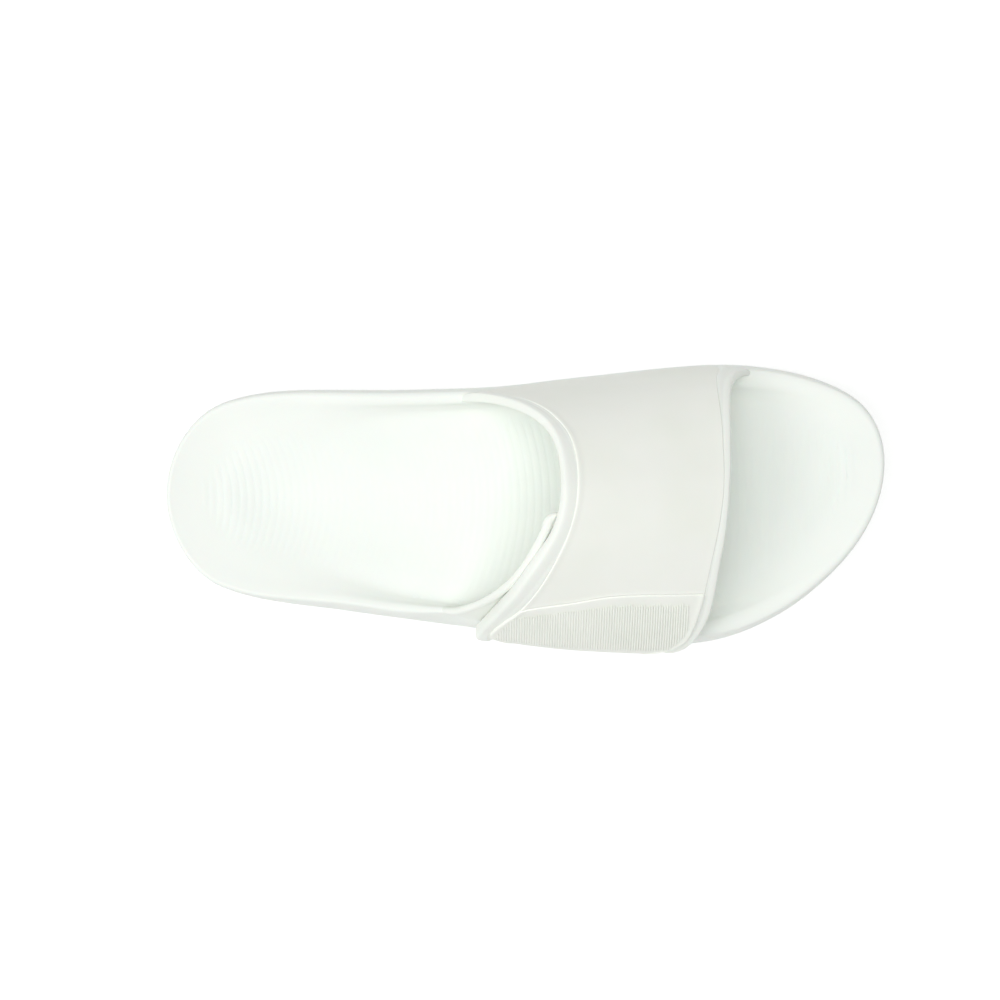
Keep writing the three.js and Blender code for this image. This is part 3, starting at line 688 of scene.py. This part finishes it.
def pipedProfile(wall, piping):
    def profile(width, around):
        edge = [(0, 0.3, 0), (0.15, 0.8, 0), (0.45, 1, 0.7), (0.9, 1, 1), (1.4, 1, 0.86)]
        edge += [(2, 1, 0.4), (3, 1, 0)]
        grown = float(ease((around - 0.23) / 0.12))
        loop = [(d, wall * h + piping[0] * grown * more) for d, h, more in edge]
        loop += [(mix(4.2, width - 4.2, i / 12), wall) for i in range(13)]
        loop += [(width - d, wall * h + piping[1] * grown * more) for d, h, more in reversed(edge)]
        loop += [(mix(width - 0.8, 0.8, i / 14), 0) for i in range(15)]
        return loop
    return profile


def coverRelief(x, around):
    at = np.asarray(x, float) / shoe["length"]
    total = np.zeros_like(at)
    for centre, turn, wide, tall, deep in coverSize["troughs"]:
        total -= deep * np.exp(-((at - centre) / wide) ** 2 - ((around - turn) / tall) ** 2)
    fromTab = (pullTabLine(x) - around) * last["aroundLength"]
    return total + coverSize["seam"] * np.exp(-((fromTab - 0.9) / 0.5) ** 2)


def onTray(around):
    # a shade deeper at the big toe root, where the edge of the skin can hardly be seen
    return lap(around) + last["strapWall"] + last["gap"] * 0.5 - 0.22 * (1 - ease((around - 0.18) / 0.10))


strapCoverPanel = pieceFromRings("strapCoverPanel", layPiece({
    "edges": coverSize["edges"], "start": 0.115, "end": lambda x: pullTabLine(x) + 0.0012,
    "standOff": onTray, "wall": coverSize["wall"],
    "profile": pipedProfile(coverSize["wall"], coverSize["piping"]),
    "cornerStart": 6, "roundStart": 0.8, "relief": coverRelief
}), coatedStrapSkin)
pullTab = pieceFromRings("pullTab", layPiece({
    "edges": coverSize["edges"], "start": lambda x: pullTabLine(x) - 0.0004, "end": pullTabSize["end"],
    "standOff": onTray, "wall": pullTabSize["wall"],
    "profile": pipedProfile(pullTabSize["wall"], pullTabSize["piping"]),
    "cornerStart": 0.8, "cornerEnd": 11, "roundStart": 0.5, "roundEnd": 0.9
}), ribbedTabRubber)
print("cover and pull tab made")


# Side wing under the strap, and the touch tape between the two
sideWingSize = {
    "edges": [
        (0.54, 0.5235, 0.742), (0.57, 0.5175, 0.741), (0.61, 0.505, 0.737), (0.65, 0.4915, 0.733),
        (0.7, 0.471, 0.728), (0.75, 0.4455, 0.722), (0.8, 0.416, 0.716), (0.83, 0.394, 0.711),
        (0.846, 0.374, 0.712), (0.858, 0.362, 0.713), (0.88, 0.362, 0.718), (0.905, 0.38, 0.722),
        (0.95, 0.42, 0.712), (1.0, 0.455, 0.69)
    ]
}


def wingProfile(width, around):
    wall = last["wingWall"]
    bead = wall + 0.35 * float(ease((around - 0.53) / 0.05))
    loop = [(d, bead * part) for d, part in ((0, 0.35), (0.25, 0.7), (0.8, 0.95), (1.4, 1), (2.6, 1))]
    loop += [(3.2, wall * 0.98)] + [(mix(4.4, width - 3, i / 10), wall * 0.94) for i in range(11)]
    loop += [(width - d, wall * part) for d, part in ((1.2, 1), (0.5, 0.9), (0.1, 0.6), (0, 0.35))]
    loop += [(mix(width - 0.8, 0.8, i / 10), 0) for i in range(11)]
    return loop


sideWing = pieceFromRings("sideWing", layPiece({
    "edges": sideWingSize["edges"], "start": 0.541, "end": 1.0, "standOff": lambda around: 0 * around,
    "wall": last["wingWall"], "profile": wingProfile, "roundStart": 1.1, "cornerStart": 3.5,
    "tips": (101, 202)
}), polishedStrapFoam)

tapeSize = {"rear": 0.535, "front": 0.695, "start": 0.66, "end": 0.835, "corner": 5}


def tapeProfile(width, around):
    wall = last["patchWall"]
    loop = [(0, wall * 0.3), (0.15, wall * 0.85), (0.5, wall)]
    loop += [(mix(2, width - 2, i / 8), wall) for i in range(9)]
    loop += [(width - 0.5, wall), (width - 0.15, wall * 0.85), (width, wall * 0.3)]
    loop += [(mix(width - 0.4, 0.4, i / 9), 0) for i in range(10)]
    return loop


def tapeSpec(standOff):
    rear, front = tapeSize["rear"], tapeSize["front"]
    return {
        "edges": [(0.0, rear, front), (1.0, rear, front)], "start": tapeSize["start"],
        "end": tapeSize["end"], "standOff": lambda around: standOff + 0 * around,
        "wall": last["patchWall"], "profile": tapeProfile, "cornerStart": tapeSize["corner"],
        "cornerEnd": tapeSize["corner"], "sub": 2
    }


loopOff = last["wingWall"] + last["gap"]
hookOff = loopOff + last["patchWall"] + last["gap"]
loopTape = pieceFromRings("loopTape", layPiece(tapeSpec(loopOff)), nylonTouchTape)
hookTape = pieceFromRings("hookTape", layPiece(tapeSpec(hookOff)), nylonTouchTape)
print("side wing and touch tape made")


def newTree(name, result, inputs):
    # a modifier tree with its named inputs in order, and the one mesh that it gives back
    tree = bpy.data.node_groups.new(name, "GeometryNodeTree")
    tree.is_modifier = True
    for key, kind in inputs.items():
        tree.interface.new_socket(key, in_out="INPUT", socket_type="NodeSocket" + kind)
    tree.interface.new_socket(result, in_out="OUTPUT", socket_type="NodeSocketGeometry")
    return tree


# Ribs: lines are laid out side by side, bowed, dropped on a surface along a ray, and swept
def ribTree():
    tree = newTree("ribsOnSurface", "Ribs", {
        "Surface": "Geometry", "Count": "Int", "First": "Vector", "Pitch": "Vector", "Run": "Vector",
        "Points": "Int", "Ray": "Vector", "Bow Behind": "Float", "Bow Ahead": "Float",
        "Behind X": "Float", "Ahead X": "Float", "Width": "Float", "Height": "Float", "Sunk": "Float",
        "Taper": "Float", "Dive": "Float", "Quiet Middle": "Float", "Quiet X": "Float",
        "Quiet Reach": "Float", "Finish": "Material"
    })
    given = addNode(tree, "NodeGroupInput").outputs
    line = addNode(tree, "GeometryNodeMeshLine", {
        "Count": given["Count"], "Start Location": given["First"], "Offset": given["Pitch"]
    }, mode="OFFSET")
    stroke = addNode(tree, "GeometryNodeCurvePrimitiveLine", {"End": given["Run"]})
    fine = addNode(tree, "GeometryNodeResampleCurve", {"Curve": stroke, "Count": given["Points"]})
    many = addNode(tree, "GeometryNodeInstanceOnPoints", {"Points": line, "Instance": fine})
    real = addNode(tree, "GeometryNodeRealizeInstances", {"Geometry": many})
    place = addNode(tree, "GeometryNodeInputPosition").outputs["Position"]
    apart = addNode(tree, "ShaderNodeSeparateXYZ", {"Vector": place})
    part = addNode(tree, "GeometryNodeSplineParameter").outputs["Factor"]
    rest = addNode(tree, "ShaderNodeMath", {0: 1.0, 1: part}, operation="SUBTRACT")
    hump = addNode(tree, "ShaderNodeMath", {0: part, 1: rest}, operation="MULTIPLY")
    bow = addNode(tree, "ShaderNodeMapRange", {
        "Value": apart.outputs["X"], "From Min": given["Behind X"], "From Max": given["Ahead X"],
        "To Min": given["Bow Behind"], "To Max": given["Bow Ahead"]
    })
    push = addNode(tree, "ShaderNodeMath", {0: hump, 1: bow}, operation="MULTIPLY")
    fourfold = addNode(tree, "ShaderNodeMath", {0: push, 1: 4.0}, operation="MULTIPLY")
    shift = addNode(tree, "ShaderNodeCombineXYZ", {"X": fourfold})
    bowed = addNode(tree, "GeometryNodeSetPosition", {"Geometry": real, "Offset": shift})
    ray = addNode(tree, "GeometryNodeRaycast", {
        "Target Geometry": given["Surface"], "Source Position": place, "Ray Direction": given["Ray"],
        "Ray Length": 0.2
    })
    held = addNode(tree, "GeometryNodeCaptureAttribute", {"Geometry": bowed})
    held.capture_items.new("BOOLEAN", "Landed")
    held.capture_items.new("VECTOR", "Spot")
    held.capture_items.new("VECTOR", "Facing")
    tree.links.new(ray.outputs["Is Hit"], held.inputs["Landed"])
    tree.links.new(ray.outputs["Hit Position"], held.inputs["Spot"])
    tree.links.new(ray.outputs["Hit Normal"], held.inputs["Facing"])
    landed = addNode(tree, "GeometryNodeSetPosition", {"Geometry": held, "Position": held.outputs["Spot"]})
    missed = addNode(tree, "FunctionNodeBooleanMath", {0: held.outputs["Landed"]}, operation="NOT")
    kept = addNode(tree, "GeometryNodeDeleteGeometry", {"Geometry": landed, "Selection": missed})
    # each rib dives under the surface towards its two ends, and lies lower in the quiet stretch
    along = addNode(tree, "GeometryNodeSplineParameter").outputs["Length"]
    whole = addNode(tree, "GeometryNodeSplineLength").outputs["Length"]
    left = addNode(tree, "ShaderNodeMath", {0: whole, 1: along}, operation="SUBTRACT")
    nearest = addNode(tree, "ShaderNodeMath", {0: along, 1: left}, operation="MINIMUM")
    diving = addNode(tree, "ShaderNodeMapRange", {
        "Value": nearest, "From Max": given["Dive"]
    }, interpolation_type="SMOOTHSTEP")
    away = addNode(tree, "ShaderNodeMath", {
        0: apart.outputs["X"], 1: given["Quiet X"]
    }, operation="SUBTRACT")
    far = addNode(tree, "ShaderNodeMath", {0: away}, operation="ABSOLUTE")
    loud = addNode(tree, "ShaderNodeMapRange", {
        "Value": far, "From Max": given["Quiet Reach"], "To Min": given["Quiet Middle"]
    }, interpolation_type="SMOOTHSTEP")
    shown = addNode(tree, "ShaderNodeMath", {0: diving, 1: loud}, operation="MULTIPLY")
    hidden = addNode(tree, "ShaderNodeMath", {0: 1.0, 1: shown}, operation="SUBTRACT")
    proud = addNode(tree, "ShaderNodeMath", {0: given["Height"], 1: given["Sunk"]}, operation="SUBTRACT")
    under = addNode(tree, "ShaderNodeMath", {0: proud, 1: 1.6}, operation="MULTIPLY")
    extra = addNode(tree, "ShaderNodeMath", {0: under, 1: hidden}, operation="MULTIPLY")
    depth = addNode(tree, "ShaderNodeMath", {0: given["Sunk"], 1: extra}, operation="ADD")
    sunk = addNode(tree, "ShaderNodeMath", {0: depth, 1: -1.0}, operation="MULTIPLY")
    drop = addNode(tree, "ShaderNodeVectorMath", {
        0: held.outputs["Facing"], "Scale": sunk
    }, operation="SCALE")
    seated = addNode(tree, "GeometryNodeSetPosition", {"Geometry": kept, "Offset": drop})
    facing = addNode(tree, "GeometryNodeSetCurveNormal", {"Curve": seated}, mode="FREE")
    tree.links.new(held.outputs["Facing"], facing.inputs["Normal"])
    fade = addNode(tree, "ShaderNodeMapRange", {
        "Value": nearest, "From Max": given["Taper"], "To Min": 0.05
    }, interpolation_type="SMOOTHSTEP")
    circle = addNode(tree, "GeometryNodeCurvePrimitiveCircle", {"Resolution": 16, "Radius": 1.0})
    section = addNode(tree, "ShaderNodeCombineXYZ", {"X": given["Height"], "Y": given["Width"], "Z": 1.0})
    oval = addNode(tree, "GeometryNodeTransform", {"Geometry": circle, "Scale": section})
    swept = addNode(tree, "GeometryNodeCurveToMesh", {
        "Curve": facing, "Profile Curve": oval, "Scale": fade, "Fill Caps": True
    })
    smooth = addNode(tree, "GeometryNodeSetShadeSmooth", {"Geometry": swept})
    joined = addNode(tree, "GeometryNodeRealizeInstances", {"Geometry": smooth})
    done = addNode(tree, "GeometryNodeSetMaterial", {"Geometry": joined, "Material": given["Finish"]})
    addNode(tree, "NodeGroupOutput", {"Ribs": done})
    return tree


ribsOnSurface = ribTree()


def runTree(name, surface, tree, values):
    # the surface carries the modifier; what it makes becomes a plain mesh of its own
    step = surface.modifiers.new("grow", "NODES")
    step.node_group = tree
    for item in tree.interface.items_tree:
        if item.in_out == "INPUT" and item.name in values:
            step[item.identifier] = values[item.name]
    bpy.context.view_layer.update()
    made = bpy.data.meshes.new_from_object(surface.evaluated_get(bpy.context.evaluated_depsgraph_get()))
    surface.modifiers.clear()
    bpy.data.objects.remove(surface)
    print(name, len(made.polygons))
    return addObject(name, made)


def gridSurface(name, grid, closed=False):
    # a helper surface that a tree works on; it is gone once the tree has run
    return meshPiece(name, grid.reshape(-1, 3), ringFaces(*grid.shape[:2], closed), mouldedEvaFoam)


def layRibs(name, surface, size, finish, lines="lines"):
    # ribs from one piece's dictionary, in metres; its lines are where the first is, and how many
    first, count = size[lines]
    across = {key: float(toRow((size[key], 0, 0))[0]) for key in ("bowFrom", "bowTo", "quietAt")}
    values = {socket: size[key] / 1000 for socket, key in (
        ("Bow Behind", "bowBehind"), ("Bow Ahead", "bowAhead"), ("Width", "halfWidth"),
        ("Height", "height"), ("Sunk", "sunk"), ("Taper", "taper"), ("Dive", "dive"),
        ("Quiet Reach", "quietReach")
    )}
    return runTree(name, surface, ribsOnSurface, {
        **values, "Count": count, "First": toRow((first, *size["start"])).tolist(),
        "Pitch": (size["pitch"] / 1000, 0.0, 0.0), "Run": [part / 1000 for part in size["run"]],
        "Points": size["points"], "Ray": size["ray"], "Behind X": across["bowFrom"],
        "Ahead X": across["bowTo"], "Quiet Middle": size["quiet"], "Quiet X": across["quietAt"],
        "Finish": finish
    })


# Ribs of the footbed: arcs bowed round the heel that straighten towards the toes
footbedRibSize = {
    "lines": (-40, 91), "pitch": 3.4, "start": (-59, 70), "run": (0, 118, 0), "points": 60,
    "ray": (0.0, 0.0, -1.0), "bowBehind": 40, "bowAhead": 4, "bowFrom": -36, "bowTo": 235,
    "halfWidth": 1.9, "height": 0.28, "sunk": 0.21, "taper": 2, "dive": 11,
    "quiet": 0.5, "quietAt": 88, "quietReach": 60,    # half as proud here, and how far that lasts
    "rowsOut": 4        # the ribs reach this many rows of the sole beyond the footbed's edge
}
ribbedRow = sum(sole["rowsBetween"][:footRow]) - footbedRibSize["rowsOut"]
insideRim = gridSurface("footbedSurface", soleFine[ribbedRow:], True)
weld(insideRim)
footbedRibs = layRibs("footbedRibs", insideRim, footbedRibSize, mouldedEvaFoam)

# Ribs of the pull tab: upright and fine, on its outer skin inside the piping
pullTabRibSize = {
    "lines": (126, 78), "pitch": 0.98, "start": (-90, 24), "run": (0, 0, 50), "points": 40,
    "ray": (0.0, 1.0, 0.0), "bowBehind": 0, "bowAhead": 0, "bowFrom": 0, "bowTo": 100,
    "halfWidth": 0.36, "height": 0.22, "sunk": 0.08, "taper": 0.8, "dive": 3,
    "quiet": 0.5, "quietAt": 190, "quietReach": 50,
    "margin": 2.4, "marginAbove": 0.014, "marginBelow": 0.013
}


def pullTabSkin():
    size = pullTabRibSize
    rows = []

    def aroundAt(x, v):
        return mix(pullTabLine(x) + size["marginAbove"], pullTabSize["end"] - size["marginBelow"], v)

    for v in np.linspace(0.0, 1.0, 40):
        x = np.linspace(0.40, 0.76, 160) * shoe["length"]
        around = aroundAt(x, v)
        rear = shoe["length"] * readTable(coverSize["edges"], 1, around) + size["margin"]
        front = shoe["length"] * readTable(coverSize["edges"], 2, around) - size["margin"]
        x = np.clip(x, rear, front)
        around = aroundAt(x, v)
        rows.append(lastPoint(x, around, onTray(around) + pullTabSize["wall"]))
    return gridSurface("pullTabSurface", np.array(rows))


pullTabRibs = layRibs("pullTabRibs", pullTabSkin(), pullTabRibSize, ribbedTabRubber)
print("ribs made")


# Pile of the touch tape: short curved bristles scattered on a face of the cloth, turned at random
def pileTree():
    tree = newTree("pileOnCloth", "Pile", {
        "Cloth": "Geometry", "Density": "Float", "Seed": "Int", "Foot": "Vector", "Bend": "Vector",
        "Tip": "Vector", "Thickness": "Float", "Finish": "Material"
    })
    given = addNode(tree, "NodeGroupInput").outputs
    spread = addNode(tree, "GeometryNodeDistributePointsOnFaces", {
        "Mesh": given["Cloth"], "Density": given["Density"], "Seed": given["Seed"]
    })
    strand = addNode(tree, "GeometryNodeCurveQuadraticBezier", {
        "Resolution": 6, "Start": given["Foot"], "Middle": given["Bend"], "End": given["Tip"]
    })
    thread = addNode(tree, "GeometryNodeCurvePrimitiveCircle", {
        "Resolution": 4, "Radius": given["Thickness"]
    })
    bristle = addNode(tree, "GeometryNodeCurveToMesh", {
        "Curve": strand, "Profile Curve": thread, "Fill Caps": True
    })
    turn = addNode(tree, "FunctionNodeRandomValue", {"Max": 6.28, "Seed": given["Seed"]}, data_type="FLOAT")
    about = addNode(tree, "ShaderNodeCombineXYZ", {"Z": turn.outputs["Value"]})
    placed = addNode(tree, "GeometryNodeInstanceOnPoints", {
        "Points": spread, "Instance": bristle, "Rotation": spread.outputs["Rotation"]
    })
    turned = addNode(tree, "GeometryNodeRotateInstances", {"Instances": placed, "Rotation": about})
    real = addNode(tree, "GeometryNodeRealizeInstances", {"Geometry": turned})
    done = addNode(tree, "GeometryNodeSetMaterial", {"Geometry": real, "Material": given["Finish"]})
    addNode(tree, "NodeGroupOutput", {"Pile": done})
    return tree


pileOnCloth = pileTree()
# density for each square metre, the rest in millimetres, the margin round the foot as a share
pileSize = {
    "density": 420000, "height": 0.27, "reach": 0.22, "thickness": 0.045, "margin": 1.5,
    "marginRound": 0.007
}


def tapePile(name, standOff, outwards, curl, seed):
    # one face of a tape, drawn in from its edge; the hook tape's face looks in towards the foot
    size = pileSize
    rows = []
    for v in np.linspace(0, 1, 40):
        x = np.linspace(tapeSize["rear"] * shoe["length"] + size["margin"],
                        tapeSize["front"] * shoe["length"] - size["margin"], 40)
        around = np.full(40, mix(tapeSize["start"] + size["marginRound"],
                                 tapeSize["end"] - size["marginRound"], v))
        rows.append(lastPoint(x, around, standOff))
    grid = np.array(rows)
    facing = np.cross(grid[0, 1] - grid[0, 0], grid[1, 0] - grid[0, 0])
    away = lastPoint(150.0, 0.75, 1.0) - lastPoint(150.0, 0.75, 0.0)
    if (np.dot(facing, away) > 0) != outwards:
        grid = grid[::-1]
    mm = 0.001
    return runTree(name, gridSurface(name + "Cloth", grid), pileOnCloth, {
        "Density": float(size["density"]), "Seed": seed, "Foot": (-size["reach"] * mm, 0.0, -0.02 * mm),
        "Bend": (0.0, 0.0, size["height"] * 1.9 * mm), "Tip": (size["reach"] * mm, 0.0, curl * mm),
        "Thickness": size["thickness"] * mm, "Finish": nylonTouchTape
    })


loopPile = tapePile("loopTapePile", loopOff + last["patchWall"], True, -0.02, 11)
hookPile = tapePile("hookTapePile", hookOff, False, 0.12, 12)
print("tape pile made")


# Tread: the same tree lays bowed bars along the underside, and the sole is cut with them
treadSize = {
    # first line and how many, under the heel and under the ball of the foot
    "heel": (-4.0, 7), "forefoot": (139.7, 5),
    "pitch": 11.2, "start": (-59, -20), "run": (0, 118, 0), "points": 60, "ray": (0.0, 0.0, 1.0),
    "bowBehind": 30.5, "bowAhead": 30.5, "bowFrom": 0, "bowTo": 280, "halfWidth": 1.5, "height": 2.0,
    "sunk": 0, "taper": 2, "dive": 0.1, "quiet": 1.0, "quietAt": 0, "quietReach": 100, "margin": 9
}


def treadBars(part):
    rows = []
    for x in np.linspace(8, 262, 128):
        reach = min(float(outlineY(x, 1)), -float(outlineY(x, -1))) - treadSize["margin"]
        y = float(outlineY(x, 1) + outlineY(x, -1)) / 2 + np.linspace(-1, 1, 25) * max(reach, 1)
        rows.append(np.column_stack([np.full(25, x), y, underside(x / shoe["length"]) + 0 * y]))
    surface = gridSurface(part + "TreadSurface", np.array(rows))
    bars = layRibs(part + "Tread", surface, treadSize, mouldedEvaFoam, part)
    weld(bars)
    return bars


def cutFrom(thing, cutters):
    for cutter in cutters:
        step = thing.modifiers.new("cut", "BOOLEAN")
        step.operation = "DIFFERENCE"
        step.solver = "MANIFOLD"
        step.object = cutter
    bpy.context.view_layer.update()
    cut = bpy.data.meshes.new_from_object(thing.evaluated_get(bpy.context.evaluated_depsgraph_get()))
    thing.modifiers.clear()
    thing.data = cut
    smoothMesh(cut)
    for cutter in cutters:
        bpy.data.objects.remove(cutter)


before = len(mouldedSole.data.polygons)
cutFrom(mouldedSole, [treadBars("heel"), treadBars("forefoot")])
print("tread cut", before, len(mouldedSole.data.polygons))


# What each piece stands for, and what it rides on
for piece, node, finish in (
    (mouldedSole, "sole", "foam"), (mainStrap, "strap", "strap_foam"),
    (strapCoverPanel, "strap_cover", "cover"), (pullTab, "grip_panel", "grip"),
    (sideWing, "side_wing", "strap_foam"), (loopTape, "loop_patch", "fastener"),
    (hookTape, "hook_patch", "fastener")
):
    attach(piece, "root")
    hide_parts(node)
for piece, finish in (
    (footbedRibs, "foam"), (pullTabRibs, "grip"), (loopPile, "fastener"), (hookPile, "fastener")
):
    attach(piece, "root")

# White floor and soft studio light: a bright sky, a key from the heel end, a broad light above
studio = {
    "sky": 0.31,
    "floor": "CFCFCF",
    "reach": 6.0,
    "glow": 0.50,
    "lights": [
        ("keyLight", (-0.80, -0.15, 1.15), 0.9, 6.0),
        ("topLight", (0.0, -0.05, 1.9), 1.4, 18.0)
    ]
}


def buildStudio():
    world = bpy.data.worlds.new("studioSky")
    bpy.context.scene.world = world
    world.use_nodes = True
    sky = world.node_tree.nodes["Background"].inputs
    sky["Color"].default_value = (1, 1, 1, 1)
    sky["Strength"].default_value = studio["sky"]
    for name, spot, size, power in studio["lights"]:
        data = bpy.data.lights.new(name, "AREA")
        data.shape = "DISK"
        data.size = size
        data.energy = power
        light = addObject(name, data)
        light.location = spot
        light.rotation_euler = (-Vector(spot)).to_track_quat("-Z", "Y").to_euler()
    floorPaper = bpy.data.materials.new("studioFloorPaper")
    floorPaper.use_nodes = True
    surface = floorPaper.node_tree.nodes["Principled BSDF"]
    for key, value in (
        ("Base Color", hexColour(studio["floor"])), ("Roughness", 0.95), ("Specular IOR Level", 0.0),
        ("Emission Color", (1, 1, 1, 1)), ("Emission Strength", studio["glow"])
    ):
        surface.inputs[key].default_value = value
    mesh = bpy.data.meshes.new("studioFloor")
    far = studio["reach"]
    mesh.from_pydata([(-far, -far, 0), (far, -far, 0), (far, far, 0), (-far, far, 0)], [], [(0, 1, 2, 3)])
    mesh.materials.append(floorPaper)
    addObject("studioFloor", mesh)
    bpy.context.scene.view_settings.view_transform = "Standard"
    bpy.context.scene.view_settings.look = "None"


buildStudio()
print("studio lit")
